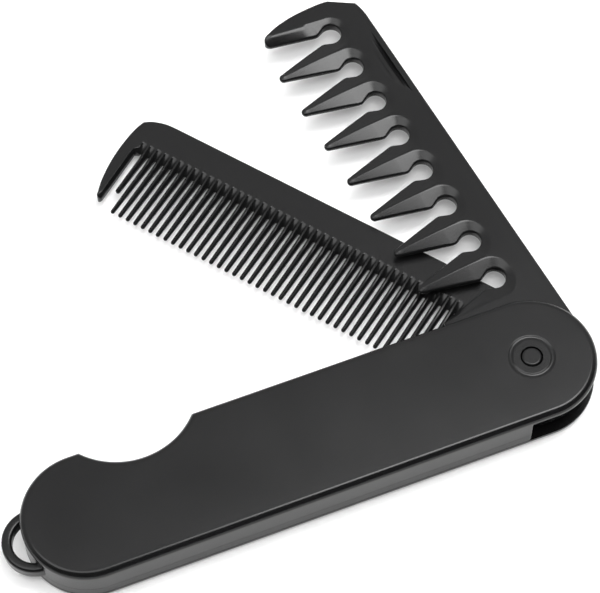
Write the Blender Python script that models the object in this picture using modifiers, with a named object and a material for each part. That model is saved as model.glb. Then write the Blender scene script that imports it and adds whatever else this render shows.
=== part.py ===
"""Folding pocket comb: a handle of two shells, a fine comb and a wide comb on one pivot pin.

The origin is on the pivot's axis at the handle's underside. The handle runs along -X, its spine is
at -Y and its open side at +Y. A blade is modelled in its own frame, with +X along the blade and +Y
towards its teeth, and is then turned about the pivot. Both blades stand open.
"""
import math

import bmesh
import bpy
from mathutils import Matrix, Vector

MM = 0.001

# Handle, in millimetres
HALF_WIDTH = 15.9
END_CENTRE_X = -112.9
THICKNESS = 13.0
PLATE = 2.1
EDGE_ROUND = 1.6
WALL = 2.0
WALL_INSET = 0.05
WALL_STOP_X = -5.8
WALL_WRAP_DEG = 135.0
PARTING_Z = 5.1
CLEARANCE = 0.3
NOTCH_CENTRE = (-95.6, 28.1)
NOTCH_RADIUS = 18.7

# Cord loop at the handle's end
LOOP_X = -126.1
LOOP_RADIUS = 8.05
LOOP_HOLE_RADIUS = 5.6
LOOP_LOW_Z = 5.3
LOOP_HIGH_Z = 8.7
LOOP_ROOT_X = -125.8
LOOP_ROUND = 0.6

# Pivot
PIN_RADIUS = 2.5
PIN_CHAMFER = 0.6
PIN_LOW_Z = 0.9
PIN_HIGH_Z = 13.1
SOCKET_LOW_Z = 0.6
BORE_RADIUS = PIN_RADIUS + CLEARANCE
RING_INNER = 4.5
RING_OUTER = 5.8
RING_DEPTH = 0.3

# What both blades share
BLADE = 3.8
BLADE_GAP = 0.4
BACK = 15.55
TANG_RADIUS = 13.6
TANG_STEP_DEG = -110.5
TOOTH_LEAN = 0.03

# Fine comb
FINE_OPEN_DEG = 51.35
FINE_TOOTH_COUNT = 41
FINE_PITCH = 2.245
FINE_FIRST_X = 114.05
FINE_TIP = 12.95
FINE_SHORT_TIP = 7.2
FINE_TOOTH_BASE = -8.6
FINE_BASE_SIZE = (1.05, 3.5)
FINE_TIP_SIZE = (0.55, 1.2)
FINE_RAMP_TOP = -8.2
FINE_RAMP_END = -5.4
FINE_RAMP_EDGE = 1.0
FINE_GUARD_X = 116.6
FINE_ROOT_X = 22.0

# Wide comb
WIDE_OPEN_DEG = 82.0
WIDE_TOOTH_COUNT = 7
WIDE_PITCH = 11.83
WIDE_HOLE_X = 107.15
WIDE_HOLE_Y = -4.6
WIDE_HOLE_RADIUS = 2.65
WIDE_SINK_RADIUS = 4.8
WIDE_SINK_DEPTH = 1.3
WIDE_NECK = 3.1
WIDE_NECK_Y = -1.0
WIDE_BODY_Y = -3.0
WIDE_TIP = 13.55
WIDE_END_TIP = 11.75
WIDE_TOOTH_EDGE = 1.2

# Nail groove in the wide comb
NAIL_X = 91.7
NAIL_WALL_Y = -14.0
NAIL_REACH = 3.8
NAIL_RADIUS = 17.1
NAIL_DEPTH = 1.2

BLACK = (0.028, 0.028, 0.030, 1.0)


def clear_scene():
    """Empties the scene."""
    for item in list(bpy.data.objects):
        bpy.data.objects.remove(item, do_unlink=True)


def make_collection(name):
    """Adds a collection to the scene."""
    group = bpy.data.collections.new(name)
    bpy.context.scene.collection.children.link(group)
    return group


def plastic(name, roughness):
    """Makes a black plastic."""
    material = bpy.data.materials.new(name)
    material.use_nodes = True
    shader = material.node_tree.nodes["Principled BSDF"]
    shader.inputs["Base Color"].default_value = BLACK
    shader.inputs["Roughness"].default_value = roughness
    shader.inputs["Metallic"].default_value = 0.0
    material.diffuse_color = BLACK
    return material


def arc(centre, radius, start, end, step=7.5):
    """Lists points on an arc, from start to end in degrees."""
    count = max(1, round(abs(end - start) / step))
    points = []
    for index in range(count + 1):
        angle = math.radians(start + (end - start) * index / count)
        points.append((centre[0] + radius * math.cos(angle), centre[1] + radius * math.sin(angle)))
    return points


def new_object(name, mesh, group):
    """Links a mesh into a collection as an object."""
    item = bpy.data.objects.new(name, mesh)
    group.objects.link(item)
    return item


def finish_bmesh(bm, name, group):
    """Turns a bmesh into an object."""
    bmesh.ops.recalc_face_normals(bm, faces=bm.faces)
    mesh = bpy.data.meshes.new(name)
    bm.to_mesh(mesh)
    bm.free()
    return new_object(name, mesh, group)


def flat_solid(name, outline, low, high, group):
    """Makes a flat solid from an outline, between two heights in millimetres."""
    curve = bpy.data.curves.new(name, "CURVE")
    curve.dimensions = "2D"
    curve.fill_mode = "BOTH"
    curve.extrude = 0.5 * (high - low) * MM
    spline = curve.splines.new("POLY")
    spline.points.add(len(outline) - 1)
    for point, (x, y) in zip(spline.points, outline):
        point.co = (x * MM, y * MM, 0.0, 1.0)
    spline.use_cyclic_u = True
    guide = bpy.data.objects.new(name + "_curve", curve)
    guide.location.z = 0.5 * (low + high) * MM
    group.objects.link(guide)
    graph = bpy.context.evaluated_depsgraph_get()
    mesh = bpy.data.meshes.new_from_object(guide.evaluated_get(graph))
    bm = bmesh.new()
    bm.from_mesh(mesh)
    bpy.data.meshes.remove(mesh)
    bmesh.ops.remove_doubles(bm, verts=bm.verts, dist=0.000002)
    bmesh.ops.dissolve_limit(bm, angle_limit=math.radians(0.5), verts=bm.verts, edges=bm.edges)
    bm.transform(guide.matrix_world)
    bpy.data.objects.remove(guide, do_unlink=True)
    return finish_bmesh(bm, name, group)


def round_rim(item, height, radius, segments):
    """Rounds the edges of a flat solid that lie at one height."""
    bm = bmesh.new()
    bm.from_mesh(item.data)
    rim = [edge for edge in bm.edges
           if all(abs(vert.co.z - height * MM) < 0.00001 for vert in edge.verts)
           and len(edge.link_faces) == 2
           and any(abs(face.normal.z) < 0.5 for face in edge.link_faces)]
    bmesh.ops.bevel(bm, geom=rim, offset=radius * MM, offset_type="OFFSET", segments=segments,
                    profile=0.5, affect="EDGES")
    bm.to_mesh(item.data)
    bm.free()


def cylinder(name, centre, radius, low, high, group, top_radius=None, segments=32):
    """Makes an upright cylinder or cone between two heights."""
    bm = bmesh.new()
    bmesh.ops.create_cone(bm, cap_ends=True, segments=segments, radius1=radius * MM,
                          radius2=(radius if top_radius is None else top_radius) * MM,
                          depth=(high - low) * MM)
    place = Vector((centre[0], centre[1], 0.5 * (low + high))) * MM
    bmesh.ops.translate(bm, verts=bm.verts, vec=place)
    return finish_bmesh(bm, name, group)


def box(name, low, high, group, turn=None):
    """Makes a box between two corners, turned about the X axis through its low corner if asked."""
    bm = bmesh.new()
    bmesh.ops.create_cube(bm, size=1.0)
    size = Vector(high) - Vector(low)
    bmesh.ops.scale(bm, verts=bm.verts, vec=size * MM)
    bmesh.ops.translate(bm, verts=bm.verts, vec=(Vector(high) + Vector(low)) * 0.5 * MM)
    if turn is not None:
        bmesh.ops.rotate(bm, verts=bm.verts, cent=Vector(low) * MM, matrix=Matrix.Rotation(turn, 3, "X"))
    return finish_bmesh(bm, name, group)


def turned_solid(name, profile, group, segments=32):
    """Turns an open profile of (radius, height) points, which starts and ends on the pivot's axis."""
    mesh = bpy.data.meshes.new(name)
    points = [(radius * MM, 0.0, height * MM) for radius, height in profile]
    edges = [(index, index + 1) for index in range(len(points) - 1)]
    mesh.from_pydata(points, edges, [])
    item = new_object(name, mesh, group)
    screw = item.modifiers.new("turn", "SCREW")
    screw.steps = segments
    screw.render_steps = segments
    screw.use_merge_vertices = True
    screw.merge_threshold = 0.000001
    screw.use_normal_calculate = True
    return item


def combine(item, tool, operation, group):
    """Applies a Boolean with a tool solid, then puts the tool away."""
    modifier = item.modifiers.new(tool.name, "BOOLEAN")
    modifier.operation = operation
    modifier.object = tool
    graph = bpy.context.evaluated_depsgraph_get()
    mesh = bpy.data.meshes.new_from_object(item.evaluated_get(graph))
    item.modifiers.clear()
    old = item.data
    item.data = mesh
    bpy.data.meshes.remove(old)
    for owner in list(tool.users_collection):
        owner.objects.unlink(tool)
    group.objects.link(tool)
    tool.hide_render = True
    tool.display_type = "WIRE"


def clean(item):
    """Merges near points and flat faces that a Boolean leaves."""
    bm = bmesh.new()
    bm.from_mesh(item.data)
    bmesh.ops.remove_doubles(bm, verts=bm.verts, dist=0.000005)
    bmesh.ops.dissolve_degenerate(bm, edges=bm.edges, dist=0.000005)
    bmesh.ops.triangulate(bm, faces=bm.faces)
    bmesh.ops.recalc_face_normals(bm, faces=bm.faces)
    bm.to_mesh(item.data)
    bm.free()


def dress(item, name, material):
    """Names a finished solid, gives it its material and shades it smooth."""
    item.name = name
    item.data.name = name
    item.data.materials.clear()
    item.data.materials.append(material)
    item.data.shade_smooth()
    item.data.set_sharp_from_angle(angle=math.radians(30))


def handle_outline():
    """Draws the handle's outline: two round ends, and the finger notch as one arc."""
    near = math.degrees(math.asin((HALF_WIDTH - NOTCH_CENTRE[1]) / NOTCH_RADIUS))
    outline = arc((0.0, 0.0), HALF_WIDTH, -90.0, 90.0)
    outline += arc(NOTCH_CENTRE, NOTCH_RADIUS, near, -180.0 - near, step=6.0)
    outline += arc((END_CENTRE_X, 0.0), HALF_WIDTH, 90.0, 270.0)
    return outline


def wall_outline():
    """Draws the spine wall, from its stop near the pivot round the handle's far end."""
    outer = HALF_WIDTH - WALL_INSET
    inner = HALF_WIDTH - WALL
    middle = 0.5 * (outer + inner)
    nose = 0.5 * (outer - inner)
    outline = arc((WALL_STOP_X - nose, -middle), nose, 90.0, -90.0, step=30.0)
    outline += arc((END_CENTRE_X, 0.0), outer, 270.0, WALL_WRAP_DEG)
    outline += arc((END_CENTRE_X, 0.0), inner, WALL_WRAP_DEG, 270.0)
    return outline


def loop_outline():
    """Draws the cord loop as an open ring whose ends run into the wall."""
    reach = LOOP_ROOT_X - LOOP_X
    outer = math.degrees(math.acos(reach / LOOP_RADIUS))
    inner = math.degrees(math.acos(reach / LOOP_HOLE_RADIUS))
    outline = arc((LOOP_X, 0.0), LOOP_RADIUS, outer, 360.0 - outer)
    outline += arc((LOOP_X, 0.0), LOOP_HOLE_RADIUS, 360.0 - inner, inner)
    return outline


def make_top_shell(parts, tools):
    """Makes the upper shell: cover plate, upper half of the spine wall and cord loop."""
    shell = flat_solid("top_shell", handle_outline(), THICKNESS - PLATE, THICKNESS, parts)
    round_rim(shell, THICKNESS, EDGE_ROUND, 4)
    wall = flat_solid("upper_wall", wall_outline(), PARTING_Z + 0.5 * CLEARANCE,
                      THICKNESS - 0.5 * PLATE, tools)
    combine(shell, wall, "UNION", tools)
    loop = flat_solid("loop", loop_outline(), LOOP_LOW_Z, LOOP_HIGH_Z, tools)
    round_rim(loop, LOOP_HIGH_Z, LOOP_ROUND, 2)
    round_rim(loop, LOOP_LOW_Z, LOOP_ROUND, 2)
    combine(shell, loop, "UNION", tools)
    bore = cylinder("upper_bore", (0.0, 0.0), BORE_RADIUS, 0.0, 2.0 * THICKNESS, tools)
    combine(shell, bore, "DIFFERENCE", tools)
    floor = THICKNESS - RING_DEPTH
    over = THICKNESS + RING_DEPTH
    ring = cylinder("ring_groove", (0.0, 0.0), RING_OUTER - RING_DEPTH, floor, over, tools,
                    top_radius=RING_OUTER + RING_DEPTH)
    land = cylinder("ring_land", (0.0, 0.0), RING_INNER + RING_DEPTH, floor - 1.0, over + 1.0, tools,
                    top_radius=RING_INNER - RING_DEPTH)
    combine(ring, land, "DIFFERENCE", tools)
    combine(shell, ring, "DIFFERENCE", tools)
    clean(shell)
    return shell


def make_bottom_shell(parts, tools):
    """Makes the lower shell: base plate, lower half of the spine wall and a blind socket for the pin."""
    shell = flat_solid("bottom_shell", handle_outline(), 0.0, PLATE, parts)
    round_rim(shell, 0.0, EDGE_ROUND, 4)
    wall = flat_solid("lower_wall", wall_outline(), 0.5 * PLATE, PARTING_Z - 0.5 * CLEARANCE, tools)
    combine(shell, wall, "UNION", tools)
    socket = cylinder("socket", (0.0, 0.0), BORE_RADIUS, SOCKET_LOW_Z, THICKNESS, tools)
    combine(shell, socket, "DIFFERENCE", tools)
    clean(shell)
    return shell


def make_pin(parts):
    """Makes the pivot pin with chamfered ends."""
    rim = PIN_RADIUS - PIN_CHAMFER
    profile = [(0.0, PIN_HIGH_Z), (rim, PIN_HIGH_Z), (PIN_RADIUS, PIN_HIGH_Z - PIN_CHAMFER),
               (PIN_RADIUS, PIN_LOW_Z + PIN_CHAMFER), (rim, PIN_LOW_Z), (0.0, PIN_LOW_Z)]
    return turned_solid("pivot_pin", profile, parts)


def tang_outline():
    """Draws the blade's round root: a disc with a stop lobe that runs into the back."""
    return arc((0.0, 0.0), TANG_RADIUS, 88.0, 360.0 + TANG_STEP_DEG) + arc(
        (0.0, 0.0), BACK, TANG_STEP_DEG, -90.0)


def fine_outline():
    """Draws the fine comb without its thin teeth."""
    outline = tang_outline()
    outline += [(110.5, -BACK), (113.3, -15.4), (115.6, -14.85), (117.6, -14.05), (119.1, -13.0)]
    outline += [(119.7, -11.1), (120.15, -8.0), (120.35, -4.5), (120.3, -1.0), (120.0, 2.5)]
    outline += [(119.55, 5.35), (119.0, 7.9), (118.15, 10.05)]
    outline += arc((FINE_GUARD_X + 0.75, FINE_SHORT_TIP + 3.6), 0.8, 10.0, 180.0, step=30.0)
    outline += [(FINE_GUARD_X, FINE_RAMP_END), (FINE_ROOT_X, FINE_RAMP_END)]
    outline += [(FINE_ROOT_X, 11.5), (FINE_ROOT_X - 1.5, 13.0), (4.0, 13.0)]
    return outline


def ramp_cutter(name, side, tools):
    """Makes the wedge that slopes the blade's face down to the thin teeth, on one side."""
    drop = 0.5 * (BLADE - FINE_RAMP_EDGE)
    run = FINE_RAMP_END - FINE_RAMP_TOP
    slope = math.atan2(drop, run)
    low = (FINE_ROOT_X + 0.3, FINE_RAMP_TOP, 0.5 * BLADE)
    high = (FINE_GUARD_X - 0.3, FINE_RAMP_TOP + 8.0, 0.5 * BLADE + 6.0)
    wedge = box(name, low, high, tools, turn=-slope)
    if side < 0:
        wedge.scale.z = -1.0
    return wedge


def tooth_cone(bm, base, tip, base_size, tip_size):
    """Adds a tapered tooth with six sides, ridge up, to a bmesh."""
    length = tip[1] - base[1]
    corner = math.cos(math.radians(30.0))
    made = bmesh.ops.create_cone(bm, cap_ends=True, segments=6, radius1=1.0, radius2=0.5,
                                 depth=length)
    for vert in made["verts"]:
        along = vert.co.z / length + 0.5
        width = base_size[0] + (tip_size[0] - base_size[0]) * along
        height = base_size[1] + (tip_size[1] - base_size[1]) * along
        radius = math.hypot(vert.co.x, vert.co.y)
        side = 0.5 * width * (vert.co.y / radius) / corner
        rise = 0.5 * height * (vert.co.x / radius)
        centre = base[0] + (tip[0] - base[0]) * along
        vert.co = Vector((centre + side, base[1] + length * along, rise)) * MM


def make_fine_comb(parts, tools):
    """Makes the fine comb: back, guard tooth, ramps and thin teeth."""
    half = 0.5 * BLADE
    comb = flat_solid("fine_comb", fine_outline(), -half, half, parts)
    combine(comb, ramp_cutter("ramp_over", 1, tools), "DIFFERENCE", tools)
    combine(comb, ramp_cutter("ramp_under", -1, tools), "DIFFERENCE", tools)
    bm = bmesh.new()
    for index in range(FINE_TOOTH_COUNT):
        x = FINE_FIRST_X - FINE_PITCH * index
        tip = FINE_SHORT_TIP if index == 0 else FINE_TIP
        lean = TOOTH_LEAN * (tip - FINE_TOOTH_BASE)
        base_x = x - TOOTH_LEAN * (-4.0 - FINE_TOOTH_BASE)
        tooth_cone(bm, (base_x, FINE_TOOTH_BASE), (base_x + lean, tip), FINE_BASE_SIZE, FINE_TIP_SIZE)
    teeth = finish_bmesh(bm, "fine_teeth", tools)
    combine(comb, teeth, "UNION", tools)
    bore = cylinder("fine_bore", (0.0, 0.0), BORE_RADIUS, -BLADE, BLADE, tools)
    combine(comb, bore, "DIFFERENCE", tools)
    clean(comb)
    return comb


def wide_outline():
    """Draws the wide comb's back, root and end tooth."""
    neck_side = WIDE_HOLE_X + 0.5 * WIDE_NECK
    root_x = WIDE_HOLE_X - WIDE_TOOTH_COUNT * WIDE_PITCH - 0.5 * WIDE_NECK
    outline = tang_outline()
    outline += [(107.5, -BACK), (109.8, -15.35), (112.1, -14.8), (116.2, -8.65), (116.6, -6.5)]
    outline += [(116.75, -2.0), (116.6, 2.0), (116.2, 4.8), (115.65, 7.4), (115.1, 9.6)]
    outline += arc((113.0, WIDE_END_TIP - 1.6), 1.6, 0.0, 160.0, step=32.0)
    outline += [(neck_side, WIDE_NECK_Y), (neck_side + 0.5, WIDE_BODY_Y)]
    outline += [(root_x - 0.5, WIDE_BODY_Y), (root_x, WIDE_NECK_Y)]
    outline += [(root_x - 2.6, 11.8), (root_x - 4.0, 13.0), (4.0, 13.0)]
    return outline


def wide_tooth(name, centre_x, tools):
    """Makes one wide tooth: a hull through four ridged sections, from the body to the tip."""
    half_pitch = 0.5 * WIDE_PITCH
    top = 0.5 * BLADE - 0.02
    edge = 0.5 * WIDE_TOOTH_EDGE
    neck_edge = half_pitch - 0.5 * WIDE_NECK
    sections = [(WIDE_BODY_Y - 0.6, 1.4, top, neck_edge - 0.75, edge),
                (WIDE_NECK_Y, 0.1, top, neck_edge, edge),
                (WIDE_TIP - 0.9, 0.1, 1.05, 1.15, 0.55),
                (WIDE_TIP, 0.1, 0.8, 0.6, 0.4)]
    bm = bmesh.new()
    for y, ridge, ridge_z, side, side_z in sections:
        x = centre_x + TOOTH_LEAN * (y - WIDE_NECK_Y)
        for sign_x in (-1.0, 1.0):
            for sign_z in (-1.0, 1.0):
                bm.verts.new(Vector((x + sign_x * ridge, y, sign_z * ridge_z)) * MM)
                bm.verts.new(Vector((x + sign_x * side, y, sign_z * side_z)) * MM)
    bmesh.ops.convex_hull(bm, input=bm.verts)
    return finish_bmesh(bm, name, tools)


def nail_cutter(tools):
    """Makes the nail groove's cutter: a cone cut off along a line parallel to the blade's back."""
    top = 0.5 * BLADE
    over = 0.6
    grow = NAIL_REACH / NAIL_DEPTH
    centre = (NAIL_X, NAIL_WALL_Y + NAIL_REACH - NAIL_RADIUS)
    cone = cylinder("nail_cone", centre, NAIL_RADIUS - NAIL_REACH, top - NAIL_DEPTH, top + over,
                    tools, top_radius=NAIL_RADIUS + grow * over, segments=72)
    limit = box("nail_limit", (NAIL_X - 30.0, NAIL_WALL_Y, -10.0), (NAIL_X + 30.0, 10.0, 10.0), tools)
    combine(cone, limit, "INTERSECT", tools)
    return cone


def make_wide_comb(parts, tools):
    """Makes the wide comb: back, keyhole slots, ridged teeth and nail groove."""
    half = 0.5 * BLADE
    comb = flat_solid("wide_comb", wide_outline(), -half, half, parts)
    for index in range(WIDE_TOOTH_COUNT):
        centre_x = WIDE_HOLE_X - WIDE_PITCH * (index + 0.5)
        tooth = wide_tooth(f"wide_tooth_{index + 1}", centre_x, tools)
        combine(comb, tooth, "UNION", tools)
    for index in range(WIDE_TOOTH_COUNT + 1):
        centre = (WIDE_HOLE_X - WIDE_PITCH * index, WIDE_HOLE_Y)
        rim = half - WIDE_SINK_DEPTH
        slope = (WIDE_SINK_RADIUS - WIDE_HOLE_RADIUS) / WIDE_SINK_DEPTH
        wide = WIDE_SINK_RADIUS + 0.5 * slope
        hole = cylinder(f"hole_{index + 1}", centre, WIDE_HOLE_RADIUS, -BLADE, BLADE, tools, segments=20)
        over = cylinder(f"sink_over_{index + 1}", centre, WIDE_HOLE_RADIUS, rim, half + 0.5, tools,
                        top_radius=wide, segments=20)
        under = cylinder(f"sink_under_{index + 1}", centre, wide, -half - 0.5, -rim, tools,
                         top_radius=WIDE_HOLE_RADIUS, segments=20)
        for cutter in (over, under, hole):
            combine(comb, cutter, "DIFFERENCE", tools)
    combine(comb, nail_cutter(tools), "DIFFERENCE", tools)
    bore = cylinder("wide_bore", (0.0, 0.0), BORE_RADIUS, -BLADE, BLADE, tools)
    combine(comb, bore, "DIFFERENCE", tools)
    clean(comb)
    return comb


def place_blade(item, open_deg, centre_z):
    """Turns a blade about the pivot and sets its height."""
    item.rotation_euler = (0.0, 0.0, math.radians(180.0 - open_deg))
    item.location = (0.0, 0.0, centre_z * MM)


def build():
    """Builds the whole comb."""
    clear_scene()
    parts = make_collection("folding_comb")
    tools = make_collection("cutters")
    shell_plastic = plastic("shell_plastic", 0.42)
    blade_plastic = plastic("blade_plastic", 0.38)
    pin_plastic = plastic("pin_plastic", 0.35)
    dress(make_top_shell(parts, tools), "top_shell", shell_plastic)
    dress(make_bottom_shell(parts, tools), "bottom_shell", shell_plastic.copy())
    dress(make_pin(parts), "pivot_pin", pin_plastic)
    fine = make_fine_comb(parts, tools)
    dress(fine, "fine_comb", blade_plastic)
    place_blade(fine, FINE_OPEN_DEG, PLATE + BLADE_GAP + 0.5 * BLADE)
    wide = make_wide_comb(parts, tools)
    dress(wide, "wide_comb", blade_plastic.copy())
    place_blade(wide, WIDE_OPEN_DEG, THICKNESS - PLATE - BLADE_GAP - 0.5 * BLADE)


build()
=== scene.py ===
"""Looks of a folding pocket comb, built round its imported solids.

Each sub-assembly is a class that holds its sizes in millimetres and makes its meshes in metres, in
the row's frame: +X away from the cord loop, +Y out of the handle's open side and +Z up. A blade is
made in its own frame first, with +X along the blade and +Y towards its teeth, and is then turned
about the pivot to its open place.
"""
import logging
import math
from dataclasses import dataclass
from enum import Enum
from typing import ClassVar

import bmesh
import bpy
from mathutils import Matrix, Vector


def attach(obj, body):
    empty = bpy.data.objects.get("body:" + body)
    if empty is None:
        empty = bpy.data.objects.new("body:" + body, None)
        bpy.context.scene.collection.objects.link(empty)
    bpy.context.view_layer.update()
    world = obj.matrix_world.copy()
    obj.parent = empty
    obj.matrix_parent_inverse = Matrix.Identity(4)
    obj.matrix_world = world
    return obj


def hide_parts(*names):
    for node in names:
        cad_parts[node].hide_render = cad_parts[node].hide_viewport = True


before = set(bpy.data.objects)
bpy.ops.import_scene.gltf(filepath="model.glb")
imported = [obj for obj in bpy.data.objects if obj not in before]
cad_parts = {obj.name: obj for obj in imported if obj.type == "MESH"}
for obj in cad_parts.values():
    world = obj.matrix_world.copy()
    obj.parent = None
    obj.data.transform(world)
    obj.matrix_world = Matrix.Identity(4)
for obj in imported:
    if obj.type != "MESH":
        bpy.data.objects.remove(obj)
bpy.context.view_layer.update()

MM = 0.001
SAME_PLACE = 2e-6  # points closer than this, in metres, are merged
CREASE_DEG = 40.0  # sharper edges stay sharp in the shading
THROUGH = 20.0  # a height above every piece, in millimetres
WHITE = (1.0, 1.0, 1.0, 1.0)
LOG = logging.getLogger("folding_comb")

Point = tuple[float, float]


class Body(Enum):
    """The rigid groups that pieces ride on."""

    HANDLE = "handle"
    FINE = "fine_blade"
    WIDE = "wide_blade"


class Slot(Enum):
    """The record's material slots."""

    HANDLE = "handle_plastic"
    PIN = "pin_plastic"
    FINE = "fine_comb_plastic"
    WIDE = "wide_comb_plastic"


def arc(centre: Point, radius: float, start: float, end: float, step: float = 3.0) -> list[Point]:
    """Lists points on an arc.

    Args:
        centre: Centre of the arc.
        radius: Radius of the arc.
        start: First angle in degrees.
        end: Last angle in degrees.
        step: Angle between points in degrees, met as nearly as whole steps allow.

    Returns:
        The points, both ends included.
    """
    count = max(1, round(abs(end - start) / step))
    points = []
    for index in range(count + 1):
        angle = math.radians(start + (end - start) * index / count)
        points.append((centre[0] + radius * math.cos(angle), centre[1] + radius * math.sin(angle)))
    return points


def line(start: Point, end: Point, count: int) -> list[Point]:
    """Lists points on a straight line.

    Args:
        start: First point.
        end: Last point.
        count: Number of equal parts.

    Returns:
        The points, both ends included.
    """
    return [(start[0] + (end[0] - start[0]) * index / count,
             start[1] + (end[1] - start[1]) * index / count) for index in range(count + 1)]


def smooth_path(points: list[Point], parts: int = 5) -> list[Point]:
    """Draws a smooth curve through a few points.

    Args:
        points: The points that the curve passes through.
        parts: Number of parts between two points.

    Returns:
        Points on the curve, both ends included.
    """
    guard = [points[0], *points, points[-1]]
    path = [points[0]]
    for a, b, c, d in zip(guard, guard[1:], guard[2:], guard[3:]):
        for index in range(1, parts + 1):
            t = index / parts
            path.append(tuple(0.5 * (2.0 * b[k] + (c[k] - a[k]) * t
                                     + (2.0 * a[k] - 5.0 * b[k] + 4.0 * c[k] - d[k]) * t * t
                                     + (3.0 * b[k] - a[k] - 3.0 * c[k] + d[k]) * t ** 3)
                              for k in range(2)))
    return path


def mix(a: float, b: float, share: float) -> float:
    """Blends two numbers."""
    return a + (b - a) * share


def ease(share: float) -> float:
    """Turns a share from 0 to 1 into one that starts and ends gently."""
    share = min(1.0, max(0.0, share))
    return share * share * (3.0 - 2.0 * share)


def link_mesh(bm: bmesh.types.BMesh, name: str) -> bpy.types.Object:
    """Turns a mesh under construction into an object of the scene.

    Args:
        bm: The mesh, in metres, which is freed.
        name: The object's name.

    Returns:
        The new object.
    """
    bmesh.ops.recalc_face_normals(bm, faces=bm.faces)
    mesh = bpy.data.meshes.new(name)
    bm.to_mesh(mesh)
    bm.free()
    item = bpy.data.objects.new(name, mesh)
    bpy.context.scene.collection.objects.link(item)
    return item


def add_node(tree: bpy.types.NodeTree, kind: str, **values: float | tuple) -> bpy.types.Node:
    """Adds a shader node.

    Args:
        tree: The node tree that it goes into.
        kind: Its type, without the word ShaderNode in front.
        values: Values of its inputs, with an underscore for a space in an input's name.

    Returns:
        The node.
    """
    node = tree.nodes.new("ShaderNode" + kind)
    for name, value in values.items():
        node.inputs[name.replace("_", " ")].default_value = value
    return node


def flat_solid(name: str, outline: list[Point], low: float, high: float) -> bpy.types.Object:
    """Makes a flat solid from an outline.

    Args:
        name: The object's name.
        outline: Points round the solid in millimetres.
        low: Height of the lower face in millimetres.
        high: Height of the upper face in millimetres.

    Returns:
        The solid.
    """
    bm = bmesh.new()
    rim = [bm.verts.new((x * MM, y * MM, low * MM)) for x, y in outline]
    base = bm.faces.new(rim)
    made = bmesh.ops.extrude_face_region(bm, geom=[base])
    moved = [item for item in made["geom"] if isinstance(item, bmesh.types.BMVert)]
    bmesh.ops.translate(bm, verts=moved, vec=(0.0, 0.0, (high - low) * MM))
    return link_mesh(bm, name)


def round_rim(item: bpy.types.Object, height: float, radius: float, segments: int) -> None:
    """Rounds the edges of a flat solid that lie at one height.

    Args:
        item: The solid.
        height: The edges' height in millimetres.
        radius: Radius of the rounding in millimetres.
        segments: Number of parts across the rounding.
    """
    bm = bmesh.new()
    bm.from_mesh(item.data)
    rim = [edge for edge in bm.edges
           if all(abs(vert.co.z - height * MM) < 1e-6 for vert in edge.verts)
           and any(abs(face.normal.z) < 0.5 for face in edge.link_faces)]
    bmesh.ops.bevel(bm, geom=rim, offset=radius * MM, offset_type="OFFSET", segments=segments,
                    profile=0.5, affect="EDGES")
    bm.to_mesh(item.data)
    bm.free()


def turned_ring(name: str, centre: Point, profile: list[Point], start: float = 0.0,
                end: float = 360.0, segments: int = 96) -> bpy.types.Object:
    """Turns a closed section about an upright axis, all the way round or part of the way.

    Args:
        name: The object's name.
        centre: Where the axis stands, in millimetres.
        profile: Closed outline of (radius, height) points in millimetres, off the axis.
        start: First angle in degrees.
        end: Last angle in degrees.
        segments: Number of parts round the axis.

    Returns:
        The solid.
    """
    bm = bmesh.new()
    whole = end - start >= 360.0
    rings = []
    for index in range(segments if whole else segments + 1):
        angle = math.radians(mix(start, end, index / segments))
        rings.append([bm.verts.new(((centre[0] + r * math.cos(angle)) * MM,
                                    (centre[1] + r * math.sin(angle)) * MM, z * MM))
                      for r, z in profile])
    count = len(profile)
    for ring, after in zip(rings, rings[1:] + rings[:1] if whole else rings[1:]):
        for k in range(count):
            bm.faces.new((ring[k], ring[(k + 1) % count], after[(k + 1) % count], after[k]))
    if not whole:
        bm.faces.new(rings[0])
        bm.faces.new(rings[-1])
    return link_mesh(bm, name)


def cylinder(name: str, centre: Point, radius: float, low: float, high: float) -> bpy.types.Object:
    """Makes an upright cylinder between two heights, with all its sizes in millimetres."""
    return flat_solid(name, arc(centre, radius, 0.0, 357.0), low, high)


def combine(item: bpy.types.Object, tool: bpy.types.Object, operation: str) -> None:
    """Joins a tool solid to an object or cuts it away, and removes the tool.

    Args:
        item: The object that changes.
        tool: The solid that is used up.
        operation: UNION, DIFFERENCE or INTERSECT.
    """
    modifier = item.modifiers.new("combine", "BOOLEAN")
    modifier.operation = operation
    modifier.object = tool
    graph = bpy.context.evaluated_depsgraph_get()
    mesh = bpy.data.meshes.new_from_object(item.evaluated_get(graph))
    item.modifiers.clear()
    item.data = mesh
    bpy.data.objects.remove(tool, do_unlink=True)


def finish_shape(item: bpy.types.Object) -> None:
    """Cleans a mesh and shades it so that wide faces look flat and narrow roundings look round.

    Args:
        item: The object.
    """
    bm = bmesh.new()
    bm.from_mesh(item.data)
    bmesh.ops.remove_doubles(bm, verts=bm.verts, dist=SAME_PLACE)
    bmesh.ops.dissolve_degenerate(bm, edges=bm.edges, dist=SAME_PLACE)
    bmesh.ops.recalc_face_normals(bm, faces=bm.faces)
    bm.to_mesh(item.data)
    bm.free()
    item.data.shade_smooth()
    item.data.set_sharp_from_angle(angle=math.radians(CREASE_DEG))
    weigh = item.modifiers.new("flat_faces", "WEIGHTED_NORMAL")
    weigh.mode = "FACE_AREA"
    weigh.weight = 50
    weigh.keep_sharp = True


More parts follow.
